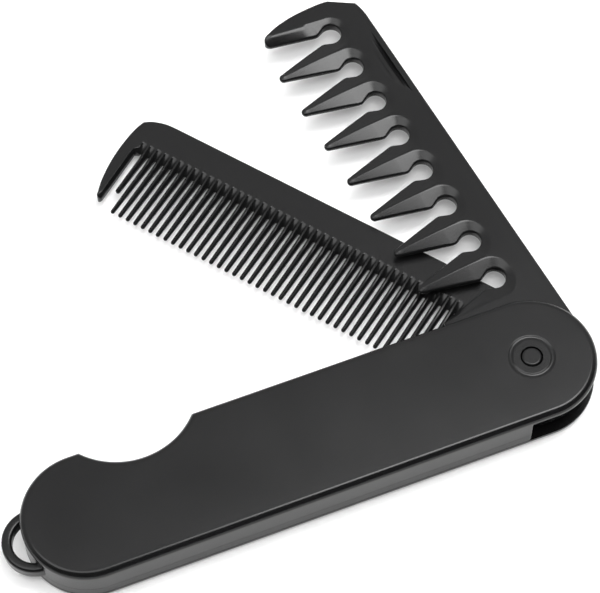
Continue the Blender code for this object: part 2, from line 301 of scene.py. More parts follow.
@dataclass(frozen=True)
class MouldedPlastic:
    """A black moulded plastic: fine grain, uneven sheen and a few pale scuffs.

    Attributes:
        name: Name of the finish.
        colour: Linear colour of the plastic.
        roughness: Mean roughness of the surface.
        sheen_change: How much the roughness drifts across the surface.
        specular: Strength of its reflections, 0.5 for common plastic.
        cloud_scale: Scale of the drift in tone and sheen.
        tone_change: How much the colour drifts.
        grain_mm: Size of the mould's fine grain in millimetres.
        grain_depth: Strength of the grain's bump.
        scuffs: Strength of the pale scuffs.
        scuff_scale: Scale of the scuffs along their length and across it.
        scuff_turn: Their direction, in radians from +X.
        scuff_range: Noise values between which a scuff fades in.
        scuff_gain: How much paler a full scuff is than the plastic.
    """

    name: str
    colour: tuple[float, float, float]
    roughness: float = 0.22
    sheen_change: float = 0.02
    specular: float = 0.28
    cloud_scale: float = 55.0
    tone_change: float = 0.04
    grain_mm: float = 0.16
    grain_depth: float = 0.10
    scuffs: float = 0.05
    scuff_scale: Point = (90.0, 1400.0)
    scuff_turn: float = 0.7
    scuff_range: Point = (0.66, 0.78)
    scuff_gain: float = 2.4

    def shade(self, gain: float) -> tuple[float, ...]:
        """Gives the plastic's colour made paler or darker, with full cover."""
        return (*[min(1.0, part * gain) for part in self.colour], 1.0)

    def material(self) -> bpy.types.Material:
        """Builds the material.

        Returns:
            A node material.
        """
        material = bpy.data.materials.new(self.name)
        material.use_nodes = True
        tree = material.node_tree
        link = tree.links.new
        shader = tree.nodes["Principled BSDF"]
        shader.inputs["Specular IOR Level"].default_value = self.specular
        place = add_node(tree, "TexCoord").outputs["Object"]
        cloud = add_node(tree, "TexNoise", Scale=self.cloud_scale, Detail=4.0)
        link(place, cloud.inputs["Vector"])

        along, across = self.scuff_scale
        stretch = add_node(tree, "Mapping", Scale=(along, across, across),
                           Rotation=(0.0, 0.0, self.scuff_turn))
        link(place, stretch.inputs["Vector"])
        streak = add_node(tree, "TexNoise", Scale=1.0, Detail=1.0)
        link(stretch.outputs["Vector"], streak.inputs["Vector"])
        scuff = add_node(tree, "MapRange", From_Min=self.scuff_range[0],
                         From_Max=self.scuff_range[1], To_Max=self.scuffs)
        link(streak.outputs["Fac"], scuff.inputs["Value"])

        tone = add_node(tree, "MixRGB", Color1=self.shade(1.0 - self.tone_change),
                        Color2=self.shade(1.0 + self.tone_change))
        link(cloud.outputs["Fac"], tone.inputs["Fac"])
        worn = add_node(tree, "MixRGB", Color2=self.shade(self.scuff_gain))
        link(scuff.outputs["Result"], worn.inputs["Fac"])
        link(tone.outputs["Color"], worn.inputs["Color1"])
        link(worn.outputs["Color"], shader.inputs["Base Color"])

        sheen = add_node(tree, "MapRange", From_Min=0.3, From_Max=0.7,
                         To_Min=self.roughness - self.sheen_change,
                         To_Max=self.roughness + self.sheen_change)
        link(cloud.outputs["Fac"], sheen.inputs["Value"])
        link(sheen.outputs["Result"], shader.inputs["Roughness"])

        grain = add_node(tree, "TexNoise", Scale=1.0 / (self.grain_mm * MM), Detail=2.0)
        link(place, grain.inputs["Vector"])
        bump = add_node(tree, "Bump", Strength=self.grain_depth, Distance=0.02 * MM)
        link(grain.outputs["Fac"], bump.inputs["Height"])
        link(bump.outputs["Normal"], shader.inputs["Normal"])
        return material


@dataclass(frozen=True)
class Station:
    """One place on a blade's rim, where its cross-section is known.

    Attributes:
        wall: Where the rim's side wall stands.
        border: Where the bevel or the rounding starts on the face.
        wall_z: Half the thickness at the wall, before its edge is rounded.
        border_z: Half the thickness at the border.
        rounding: Radius of the rounded edge between the bevel and the wall.
        soft: Share of the bevel over which it turns down from the face.
        spine: Whether the border belongs to the flat spine's face.
        knee: Where a gentle ramp turns into a steep one, if it does: the share of the bevel and the
            share of its fall up to there.
        MOST_OF_BEVEL: Largest share of the bevel that the rounding takes.
        MOST_OF_WALL: Largest share of the wall that it takes.
    """

    wall: Point
    border: Point
    wall_z: float
    border_z: float
    rounding: float = 0.5
    soft: float = 0.4
    spine: bool = True
    knee: Point | None = None

    MOST_OF_BEVEL: ClassVar[float] = 0.45
    MOST_OF_WALL: ClassVar[float] = 0.85

    def fall(self, share: float) -> float:
        """Gives the share of the bevel's fall that is reached at some share of its way.

        Args:
            share: Share of the way from the border to the wall.

        Returns:
            The share of the fall.
        """
        if self.knee is not None:
            turn, done = self.knee
            if share < turn:
                return done * share / turn
            return mix(done, 1.0, (share - turn) / (1.0 - turn))
        bend = min(share, self.soft)
        fallen = 0.5 * bend * bend / self.soft + max(0.0, share - self.soft)
        return fallen / (1.0 - 0.5 * self.soft)

    def column(self) -> list[tuple[float, float, float]]:
        """Works out the section from the border down to the side wall.

        Returns:
            Points (x, y, z) on the upper half of the section, in millimetres.
        """
        border = Vector((*self.border, self.border_z))
        corner = Vector((*self.wall, self.wall_z))
        reach = max((border - corner).length, 1e-6)
        radius = min(self.rounding, self.MOST_OF_BEVEL * reach, self.MOST_OF_WALL * self.wall_z)
        last = 1.0 - radius / reach
        turn = self.soft if self.knee is None else self.knee[0]
        points = []
        for share in (0.0, 0.25 * turn, 0.5 * turn, turn, last):
            share = min(share, last)
            flat = border.lerp(corner, share)
            height = mix(self.border_z, self.wall_z, self.fall(share))
            points.append(Vector((flat.x, flat.y, height)))
        start = points[-1]
        drop = corner - Vector((0.0, 0.0, radius))
        for share in (0.2, 0.4, 0.6, 0.8):
            points.append(start.lerp(corner, share).lerp(corner.lerp(drop, share), share))
        points.append(drop)
        return [tuple(point) for point in points]


class RimMesh:
    """Builds a closed blade from stations round its outline, the same above and below."""

    def __init__(self) -> None:
        """Starts an empty mesh."""
        self.bm = bmesh.new()
        self.known: dict[tuple[int, int, int], bmesh.types.BMVert] = {}

    def vert(self, point: tuple[float, float, float]) -> bmesh.types.BMVert:
        """Finds or adds the vertex at a point in millimetres.

        Args:
            point: The point.

        Returns:
            Its vertex.
        """
        key = tuple(round(value * 2000.0) for value in point)
        if key not in self.known:
            self.known[key] = self.bm.verts.new([value * MM for value in point])
        return self.known[key]

    def face(self, verts: list[bmesh.types.BMVert]) -> None:
        """Adds a face, leaving out repeated corners.

        Args:
            verts: The corners in order.
        """
        corners = [vert for index, vert in enumerate(verts) if vert is not verts[index - 1]]
        if len(corners) < 3 or len(set(corners)) < len(corners):
            return
        if self.bm.faces.get(corners) is None:
            self.bm.faces.new(corners)

    def build(self, stations: list[Station], ridges: list[tuple[list[int], list[int]]]) -> None:
        """Adds the whole blade.

        Args:
            stations: The rim's stations, counter-clockwise seen from above.
            ridges: For each ridged tooth, the stations on its two flanks, from root to tip.
        """
        for side in (1.0, -1.0):
            columns = []
            for station in stations:
                columns.append([self.vert((x, y, side * z)) for x, y, z in station.column()])
            for index, column in enumerate(columns):
                after = columns[(index + 1) % len(columns)]
                for k in range(len(column) - 1):
                    self.face([column[k], column[k + 1], after[k + 1], after[k]])
            spine = [columns[i][0] for i, station in enumerate(stations) if station.spine]
            self.bm.faces.new(list(dict.fromkeys(spine)))
            for one, other in ridges:
                for k in range(len(one) - 1):
                    self.face([columns[one[k]][0], columns[one[k + 1]][0],
                               columns[other[k + 1]][0], columns[other[k]][0]])
        for index, station in enumerate(stations):
            after = stations[(index + 1) % len(stations)]
            x0, y0, z0 = station.column()[-1]
            x1, y1, z1 = after.column()[-1]
            self.face([self.vert((x0, y0, z0)), self.vert((x0, y0, -z0)),
                       self.vert((x1, y1, -z1)), self.vert((x1, y1, z1))])


@dataclass
class Blade:
    """What both combs share, in the blade's own frame and in millimetres.

    Attributes:
        open_deg: Angle between the blade and the folded handle.
        centre_z: Height of the blade's middle plane.
        half: Half the blade's thickness.
        back: Distance of the blade's back from the line through the pivot.
        tang_radius: Radius of the round root.
        stop_deg: Where the root steps out to the back's radius, as a stop.
        bore_radius: Radius of the pivot hole.
        edge_round: Rounding of the blade's plain edges.
        lean: How far a tooth leans away from the pivot for each millimetre of its length.
        root_start: Where the root's round begins on the toothed side.
        root_deg: Angle at which it begins.
        back_x: Where the straight back begins.
        end_border: How far inside the wall the face's border lies along the back and the end.
        end_merge: Number of stations over which that border narrows to the end's point.
        shoulder: Points between the straight back and the blade's end.
        slope_parts: Number of parts of the straight slope after the shoulder.
        side: Points on the end's side, down to its tip.
        teeth: Number of teeth between the thick end and the root.
        pitch: Distance between teeth.
        root_y: Where a tooth's straight flanks begin.
        tip_y: Centre of the teeth's round tips.
        tooth_round: Rounding of a tooth's edges.
        tooth_soft: Share of a flank over which it turns down from the ridge.
        tooth_parts: Number of parts along a tooth.
        tip_turn: Angle between points round a tip in degrees.
        tip_edge_z: Half the thickness at the tips' edge, if it isn't the flanks'.
        blade_name: Name of the finished piece.
    """

    open_deg: float
    centre_z: float
    half: float = 1.9
    back: float = 15.55
    tang_radius: float = 13.6
    stop_deg: float = -110.5
    bore_radius: float = 2.8
    edge_round: float = 0.42
    lean: float = 0.03
    root_start: Point = (4.0, 13.0)
    root_deg: float = 84.0
    back_x: float = 18.0
    end_border: float = 0.8
    end_merge: int = 8
    shoulder: tuple[Point, ...] = ()
    slope_parts: int = 0
    side: tuple[Point, ...] = ()
    teeth: int = 0
    pitch: float = 0.0
    root_y: float = 0.0
    tip_y: float = 0.0
    tooth_round: float = 0.5
    tooth_soft: float = 0.04
    tooth_parts: int = 12
    tip_turn: float = 15.0
    tip_edge_z: float | None = None
    blade_name: str = "blade"

    def plain(self, path: list[Point], width: float = 1.0, end: Point | None = None,
              merge: int = 0) -> list[Station]:
        """Lists stations with a plain rounded edge.

        Args:
            path: Points on the wall, counter-clockwise, with the blade on the left.
            width: How far inside the wall the face's border lies.
            end: Where the border runs to at the path's end, if it narrows to a point.
            merge: Number of stations over which it narrows.

        Returns:
            A station for each point.
        """
        stations = []
        for index, point in enumerate(path):
            before = Vector(path[max(0, index - 1)])
            after = Vector(path[min(len(path) - 1, index + 1)])
            here = Vector(point)
            inward = Vector((0.0, 0.0))
            for along in (here - before, after - here):
                if along.length > 1e-6:
                    along.normalize()
                    inward += Vector((-along.y, along.x))
            inward.normalize()
            border = here + inward * width
            if end is not None:
                left = len(path) - 1 - index
                border = border.lerp(Vector(end), ease(1.0 - left / merge) if left < merge else 0.0)
            stations.append(Station(point, tuple(border), self.half, self.half, self.edge_round))
        return stations

    def root(self) -> list[Station]:
        """Draws the round root, from the toothed side past the stop to the back.

        Returns:
            Stations with a plain edge.
        """
        path = [self.root_start]
        path += arc((0.0, 0.0), self.tang_radius, self.root_deg, 360.0 + self.stop_deg)
        path += arc((0.0, 0.0), self.back, self.stop_deg, -90.0)
        return self.plain(path)

    def end_side(self, point: Point) -> list[Station]:
        """Draws the straight back, the shoulder and the end's side.

        Args:
            point: Where the end's flat face comes to a point.

        Returns:
            Stations from the root to the end's tip.
        """
        path = line((self.back_x, -self.back), self.shoulder[0], 24)
        path += smooth_path(list(self.shoulder))[1:]
        if self.slope_parts:
            path += line(self.shoulder[-1], self.side[0], self.slope_parts)[1:]
        path += smooth_path(list(self.side))[1:]
        return self.plain(path, self.end_border, point, self.end_merge)

    def thick_end(self) -> list[Station]:
        """Draws the back and the blade's end, down to the first gap."""
        raise NotImplementedError

    def gap(self, index: int) -> list[Station]:
        """Draws the root of a gap, from its outer to its inner side."""
        raise NotImplementedError

    def root_flank(self) -> list[Station]:
        """Draws the flank between the last gap and the root."""
        raise NotImplementedError

    def middle(self, index: int, y: float) -> float:
        """Gives a tooth's place along the blade at some depth."""
        raise NotImplementedError

    def section(self, along: float) -> tuple[float, float, float, float]:
        """Gives a tooth's half width, its ridge's, and half its thickness at the wall and ridge."""
        raise NotImplementedError

    def tooth_end(self, index: int) -> float:
        """Gives the centre of a tooth's round tip."""
        return self.tip_y

    def tooth(self, index: int) -> list[Station]:
        """Draws one ridged tooth, from its outer root round the tip to its inner root.

        Args:
            index: Number of the tooth, counted from the blade's end.

        Returns:
            Stations whose borders run along the ridge.
        """
        tip_y = self.tooth_end(index)
        flank: list[Station] = []
        other: list[Station] = []
        for k in range(1, self.tooth_parts + 1):
            y = mix(self.root_y, tip_y, k / self.tooth_parts)
            middle = self.middle(index, y)
            width, ridge, low, high = self.section((y - self.root_y) / (self.tip_y - self.root_y))
            for side, stations in ((1, flank), (-1, other)):
                stations.append(Station((middle + side * width, y), (middle + side * ridge, y), low,
                                        high, self.tooth_round, self.tooth_soft, spine=False))
        walls = arc((middle, tip_y), width, 0.0, 180.0, self.tip_turn)[1:-1]
        tip = []
        low = low if self.tip_edge_z is None else self.tip_edge_z
        for k, wall in enumerate(walls):
            side = 1 if k < len(walls) // 2 else -1
            tip.append(Station(wall, (middle + side * ridge, tip_y), low, high,
                               self.tooth_round, self.tooth_soft, spine=False))
        return flank + tip + other[::-1]

    def rim(self) -> bpy.types.Object:
        """Builds the blade from all its stations, in its own frame.

        Returns:
            The closed blade.
        """
        stations = self.thick_end()
        ridges = []
        for index in range(self.teeth + 1):
            stations += self.gap(index)
            if index < self.teeth:
                first = len(stations) - 1
                stations += self.tooth(index)
                last = len(stations)
                ridges.append(([first + k for k in range(self.tooth_parts + 1)],
                               [last - k for k in range(self.tooth_parts + 1)]))
        stations += self.root_flank() + self.root()
        rim = RimMesh()
        rim.build(stations, ridges)
        return link_mesh(rim.bm, self.blade_name)

    def finish(self, item: bpy.types.Object) -> bpy.types.Object:
        """Cuts the pivot hole, cleans the mesh and turns the blade to its open place.

        Args:
            item: The blade in its own frame.

        Returns:
            The same object.
        """
        bore = cylinder("bore", (0.0, 0.0), self.bore_radius, -2.0 * self.half, 2.0 * self.half)
        combine(item, bore, "DIFFERENCE")
        turn = Matrix.Rotation(math.radians(180.0 - self.open_deg), 4, "Z")
        item.data.transform(Matrix.Translation((0.0, 0.0, self.centre_z * MM)) @ turn)
        finish_shape(item)
        return item


@dataclass(frozen=True)
class NailGroove:
    """The nail groove in the wide comb's face: a cone's flank with fine ribs.

    Attributes:
        centre: Centre of the cone.
        radius: Radius at which the cone leaves the face.
        slope: Depth gained for each millimetre towards the centre.
        reach_x: Span along the blade that is cut.
        reach_y: Span across it, from the groove's straight wall.
        ribs: Where the ribs lie across the blade.
        rib_half: Half a rib's width.
        rib_height: Height of a rib.
        rib_fade: Depth at which the ribs have their full height.
        parts: Number of parts along and across the blade.
        lift: How far the cutter stands out of the face.
    """

    centre: Point = (91.7, -27.3)
    radius: float = 17.1
    slope: float = 1.2 / 3.8
    reach_x: Point = (77.7, 105.7)
    reach_y: Point = (-14.0, -9.6)
    ribs: tuple[float, ...] = (-12.9, -11.6, -10.6)
    rib_half: float = 0.14
    rib_height: float = 0.16
    rib_fade: float = 0.25
    parts: tuple[int, int] = (96, 80)
    lift: float = 0.9

    def depth(self, x: float, y: float) -> float:
        """Gives the groove's depth at a point, or less than nothing outside it.

        Args:
            x: Place along the blade.
            y: Place across it.

        Returns:
            The depth below the face.
        """
        depth = (self.radius - math.hypot(x - self.centre[0], y - self.centre[1])) * self.slope
        rib = sum(math.exp(-((y - at) / self.rib_half) ** 2) for at in self.ribs)
        return max(-0.5, depth - self.rib_height * rib * ease(depth / self.rib_fade))

    def cutter(self, face: float) -> bpy.types.Object:
        """Makes the cutter of the groove.

        Args:
            face: Height of the blade's face.

        Returns:
            The cutter in the blade's own frame.
        """
        bm = bmesh.new()
        columns, rows = self.parts
        spots = [[(mix(*self.reach_x, i / columns), mix(*self.reach_y, j / rows))
                  for i in range(columns + 1)] for j in range(rows + 1)]
        low = [[bm.verts.new((x * MM, y * MM, (face - self.depth(x, y)) * MM)) for x, y in row]
               for row in spots]
        high = [[bm.verts.new((x * MM, y * MM, (face + self.lift) * MM)) for x, y in row]
                for row in spots]
        for grid in (low, high):
            for one, two in zip(grid, grid[1:]):
                for i in range(columns):
                    bm.faces.new((one[i], one[i + 1], two[i + 1], two[i]))
        edge = [(0, i) for i in range(columns)] + [(j, columns) for j in range(rows)]
        edge += [(rows, i) for i in range(columns, 0, -1)] + [(j, 0) for j in range(rows, 0, -1)]
        for (j, i), (m, n) in zip(edge, edge[1:] + edge[:1]):
            bm.faces.new((low[j][i], low[m][n], high[m][n], high[j][i]))
        return link_mesh(bm, "nail_groove")


@dataclass
class WideComb(Blade):
    """The upper comb, with keyhole gaps between wide ridged teeth.

    Attributes:
        hole: Centre of the keyhole next to the end tooth.
        hole_radius: Radius of a keyhole.
        throat: Points on a gap's side between the keyhole and the tooth's straight flank, from the
            keyhole's centre.
        sink_length: Reach of the hollow round a keyhole into the spine.
        edge_z: Half the thickness at the edges of the end tooth and the root.
        flank_slope: Fall of a tooth's flank for each millimetre.
        hollow_slope: Fall of the hollow at a keyhole's deepest point for each millimetre.
        hollow_soft: Share of the hollow over which it turns down from the face.
        tip_radius: Radius of the tips.
        tip_ridge: Half the thickness along the ridge at the tips.
        ridge_bend: How gently the ridge starts to fall, 1 for a straight line.
        ridge_half: Half the ridge's width.
        end_ridge: First and last point of the end tooth's ridge.
        end_tip: Centre of the end tooth's round tip.
        end_tip_radius: Radius of that tip.
        end_tip_degs: Angles between which it runs.
        root_ridge: First and last point of the border beside the root.
        root_corner: Points round the root's corner.
        corner_border: Where the border beside that corner begins and ends.
        groove: The nail groove.
    """

    open_deg: float = 82.0
    centre_z: float = 8.6
    shoulder: tuple[Point, ...] = ((107.5, -15.55), (109.8, -15.35), (112.1, -14.8))
    slope_parts: int = 6
    side: tuple[Point, ...] = ((116.2, -8.65), (116.6, -6.5), (116.75, -2.0), (116.6, 2.0),
                               (116.2, 4.8), (115.65, 7.4), (114.6, 10.45))
    teeth: int = 7
    pitch: float = 11.83
    tip_y: float = 12.4
    blade_name: str = "wide_comb_blade"
    hole: Point = (107.15, -4.6)
    hole_radius: float = 2.65
    throat: tuple[Point, ...] = ((2.42, 1.08), (1.93, 2.05), (1.58, 2.8), (1.49, 3.35), (1.56, 4.0),
                                 (1.70, 4.6))
    sink_length: float = 4.9
    edge_z: float = 0.6
    tip_edge_z: float = 0.5
    flank_slope: float = 0.337
    hollow_slope: float = 0.34
    hollow_soft: float = 0.2
    tip_radius: float = 1.15
    tip_ridge: float = 0.88
    ridge_bend: float = 1.5
    ridge_half: float = 0.05
    end_ridge: tuple[Point, Point] = ((112.0, -4.6), (114.0, 9.0))
    end_tip: Point = (113.0, 10.1)
    end_tip_radius: float = 1.6
    end_tip_degs: Point = (12.0, 164.0)
    root_ridge: tuple[Point, Point] = ((18.2, -4.6), (18.9, 11.2))
    root_corner: tuple[Point, ...] = ((20.2, 11.8), (19.7, 12.6), (18.6, 13.0))
    corner_border: tuple[Point, Point] = ((19.0, 11.2), (17.6, 12.0))
    groove: NailGroove = NailGroove()

    def middle(self, index: int, y: float) -> float:
        """Gives the ridge's place along the blade, on a tooth at some depth."""
        return self.hole[0] - self.pitch * (index + 0.5) + self.lean * max(0.0, y)

    def ridge_at(self, index: int, y: float) -> float:
        """Gives the place of a tooth's ridge, the end tooth and the root included.

        Args:
            index: Number of the tooth, -1 for the end tooth and the number of teeth for the root.
            y: Depth along the tooth.

        Returns:
            The ridge's place along the blade.
        """
        if 0 <= index < self.teeth:
            return self.middle(index, y)
        (x0, y0), (x1, y1) = self.end_ridge if index < 0 else self.root_ridge
        return mix(x0, x1, (y - y0) / (y1 - y0))

    def section(self, along: float) -> tuple[float, float, float, float]:
        """Gives a tooth's half width, its ridge's, and half its thickness at the wall and ridge.

        Args:
            along: Share of the way from a tooth's root to its tip.

        Returns:
            The four sizes.
        """
        width = mix(0.5 * self.pitch - self.throat[-1][0], self.tip_radius, along)
        high = mix(self.half, self.tip_ridge, along ** self.ridge_bend)
        return width, self.ridge_half, high - self.flank_slope * (width - self.ridge_half), high

    def gap_half(self, index: int, side: int) -> list[Station]:
        """Draws half of a keyhole gap, from its middle out to the root of a tooth.

        Args:
            index: Number of the gap, counted from the end tooth.
            side: 1 for the half nearer the blade's end, -1 for the half nearer the pivot.

        Returns:
            Stations from the keyhole's deepest point to the tooth's straight flank.
        """
        x, y = self.hole[0] - self.pitch * index, self.hole[1]
        tooth = index - 1 if side > 0 else index
        length = self.throat[-1][1]
        start = math.degrees(math.atan2(self.throat[0][1], self.throat[0][0]))
        walls = arc((0.0, 0.0), self.hole_radius, -90.0, start, 4.5)
        walls += smooth_path(list(self.throat), 4)[1:]
        stations = []
        for along, rise in walls:
            reach = side * (self.ridge_at(tooth, y + max(0.0, rise)) - x) - self.ridge_half
            rim = (reach, rise)
            if rise < 0.0:
                turn = math.atan2(rise, along)
                rim = (reach * math.cos(turn), self.sink_length * math.sin(turn))
            deep = ease((length - rise) / (length + self.hole_radius))
            soft = mix(self.tooth_soft, self.hollow_soft, deep)
            fall = mix(self.flank_slope, self.hollow_slope, deep) * (1.0 - 0.5 * soft)
            low = self.half - fall * math.hypot(rim[0] - along, rim[1] - rise)
            stations.append(Station((x + side * along, y + rise), (x + side * rim[0], y + rim[1]),
                                    low, self.half, soft=soft))
        return stations

    def gap(self, index: int) -> list[Station]:
        """Draws a keyhole gap with its hollow, from its outer to its inner side."""
        return self.gap_half(index, 1)[::-1] + self.gap_half(index, -1)[1:]

    def thick_end(self) -> list[Station]:
        """Draws the back, the sloping end, and the end tooth down to its inner root.

        Returns:
            Stations from the root's back to the first keyhole.
        """
        point = self.end_ridge[1]
        stations = self.end_side(point)
        tip = arc(self.end_tip, self.end_tip_radius, *self.end_tip_degs, 12.0)
        for k, wall in enumerate(tip[1:]):
            share = ease((k + 1) / (len(tip) - 1))
            stations.append(Station(wall, point, mix(self.half, self.tip_edge_z, share), self.half))
        root = (self.hole[0] + self.throat[-1][0], self.hole[1] + self.throat[-1][1])
        walls = line(tip[-1], root, 12)
        for k, wall in enumerate(walls[1:-1]):
            share = (k + 1) / (len(walls) - 1)
            y = min(wall[1], point[1])
            stations.append(Station(wall, (self.ridge_at(-1, y) - self.ridge_half * share, y),
                                    mix(self.tip_edge_z, self.edge_z, share), self.half))
        return stations

    def root_flank(self) -> list[Station]:
        """Draws the bevelled flank between the last keyhole and the root.

        Returns:
            Stations from the last keyhole round the root's corner.
        """
        root = (self.hole[0] - self.pitch * self.teeth - self.throat[-1][0],
                self.hole[1] + self.throat[-1][1])
        stations = []
        for wall in line(root, self.root_corner[0], 8)[1:]:
            y = min(wall[1], self.root_ridge[1][1])
            stations.append(Station(wall, (self.ridge_at(self.teeth, y) + self.ridge_half, y),
                                    self.edge_z, self.half))
        corner = smooth_path(list(self.root_corner))[1:]
        (x0, y0), (x1, y1) = self.corner_border
        for k, wall in enumerate(corner):
            share = ease((k + 1) / len(corner))
            stations.append(Station(wall, (mix(x0, x1, share), mix(y0, y1, share)),
                                    mix(self.edge_z, self.half, share), self.half, 0.4))
        return stations

    def build(self) -> bpy.types.Object:
        """Builds the wide comb in its open place.

        Returns:
            The finished blade.
        """
        comb = self.rim()
        combine(comb, self.groove.cutter(self.half), "DIFFERENCE")
        return self.finish(comb)


@dataclass
class FineComb(Blade):
    """The lower comb, with many thin teeth beside a thick guard tooth.

    Attributes:
        first_x: Place of the short tooth next to the guard tooth.
        short_tip_y: Centre of the short tooth's round tip.
        tooth_widths: Half a tooth's width at its root and tip.
        ridge_widths: The same for its ridge.
        ridge_heights: Half its thickness along the ridge, at its root and tip.
        wall_share: Share of that thickness at a tooth's walls.
        scoop_y: Where the scoop at a gap's root is widest.
        scoop_width: Half the scoop's width there.
        scoop_length: How far the scoop runs on into the spine.
        scoop_square: How square the scoop's outline is, 1 for an ellipse.
        scoop_walls: Half the thickness at the scoop's deepest point and at its sides.
        scoop_knee: Where the scoop turns steep: the share of its way and of its fall up to there.
        guard_x: Inner wall of the guard tooth.
        guard_point: Where the flat top of the guard tooth comes to a point.
        guard_tip: Radius and depth of the guard tooth's round tip.
        guard_bevel: Width of the bevel at the foot of the guard tooth's inner wall.
        guard_wall_z: Half the thickness at that wall.
        root_x: Outer wall of the root.
        root_corner: Points round the root's corner.
    """

    open_deg: float = 51.35
    centre_z: float = 4.4
    shoulder: tuple[Point, ...] = ((110.5, -15.55), (113.3, -15.4), (115.6, -14.85),
                                   (117.6, -14.05), (119.1, -13.0))
    side: tuple[Point, ...] = ((119.1, -13.0), (119.7, -11.1), (120.15, -8.0), (120.35, -4.5),
                               (120.3, -1.0), (120.0, 2.5), (119.55, 5.35), (119.0, 7.9),
                               (118.2, 10.3))
    teeth: int = 41
    pitch: float = 2.245
    root_y: float = -4.8
    tip_y: float = 12.7
    tooth_round: float = 0.12
    tooth_soft: float = 0.1
    tooth_parts: int = 7
    tip_turn: float = 30.0
    blade_name: str = "fine_comb_blade"
    first_x: float = 114.05
    short_tip_y: float = 6.95
    tooth_widths: Point = (0.76, 0.55)
    ridge_widths: Point = (0.16, 0.1)
    ridge_heights: Point = (1.5, 0.62)
    wall_share: float = 0.32
    scoop_y: float = -6.2
    scoop_width: float = 0.9
    scoop_length: float = 2.0
    scoop_square: float = 0.35
    scoop_walls: Point = (0.22, 0.45)
    scoop_knee: Point = (0.62, 0.42)
    guard_x: float = 116.6
    guard_point: Point = (117.3, 9.6)
    guard_tip: Point = (0.72, 10.85)
    guard_bevel: float = 0.7
    guard_wall_z: float = 0.7
    root_x: float = 22.0
    root_corner: tuple[Point, ...] = ((22.0, 11.5), (21.5, 12.6), (20.4, 13.0))

    def middle(self, index: int, y: float) -> float:
        """Gives a thin tooth's place along the blade at some depth."""
        return self.first_x - self.pitch * index + self.lean * (y - self.root_y)

    def section(self, along: float) -> tuple[float, float, float, float]:
        """Gives a tooth's half width, its ridge's, and half its thickness at the wall and ridge."""
        high = mix(*self.ridge_heights, along)
        return (mix(*self.tooth_widths, along), mix(*self.ridge_widths, along),
                self.wall_share * high, high)

    def tooth_end(self, index: int) -> float:
        """Gives the centre of a tooth's round tip, and of the short first tooth's."""
        return self.short_tip_y if index == 0 else self.tip_y

    def gap(self, index: int) -> list[Station]:
        """Draws the round root of a gap with its scoop, from its outer to its inner side.

        Args:
            index: Number of the gap, counted from the guard tooth.

        Returns:
            Stations round the gap's root.
        """
        x = self.first_x - self.pitch * (index - 0.5)
        radius = 0.5 * self.pitch - self.tooth_widths[0]
        stations = []
        for angle in range(0, -181, -15):
            turn = math.radians(angle)
            across, down = math.cos(turn), max(0.0, -math.sin(turn))
            wall = (x + radius * across, self.root_y - radius * down)
            wide = math.copysign(abs(across) ** self.scoop_square, across)
            border = (x + self.scoop_width * wide,
                      self.scoop_y - self.scoop_length * down ** self.scoop_square)
            stations.append(Station(wall, border, mix(*self.scoop_walls, abs(across) ** 3),
                                    self.half, 0.08, knee=self.scoop_knee))
        return stations

    def thick_end(self) -> list[Station]:
        """Draws the back, the round shoulder and the guard tooth down to its inner root.

        Returns:
            Stations from the root's back to the first gap.
        """
        stations = self.end_side(self.guard_point)
        radius, tip_y = self.guard_tip
        tip = arc((self.guard_x + radius, tip_y), radius, 20.0, 180.0, 16.0)
        for k, wall in enumerate(tip):
            low = mix(self.half, self.guard_wall_z, ease(k / (len(tip) - 1)))
            stations.append(Station(wall, self.guard_point, low, self.half, 0.4))
        walls = line((self.guard_x, tip_y), (self.guard_x, self.root_y), 10)
        borders = line(self.guard_point, (self.guard_x + self.guard_bevel, self.root_y), 10)
        for wall, border in zip(walls[1:], borders[1:]):
            stations.append(Station(wall, border, self.guard_wall_z, self.half, 0.3, 0.2))
        return stations

    def root_flank(self) -> list[Station]:
        """Draws the plain flank between the last gap and the root.

        Returns:
            Stations from the last gap round the root's corner.
        """
        path = line((self.root_x, self.root_y), self.root_corner[0], 8)
        path += smooth_path(list(self.root_corner))[1:]
        return self.plain(path, 0.6)

    def build(self) -> bpy.types.Object:
        """Builds the fine comb in its open place."""
        return self.finish(self.rim())


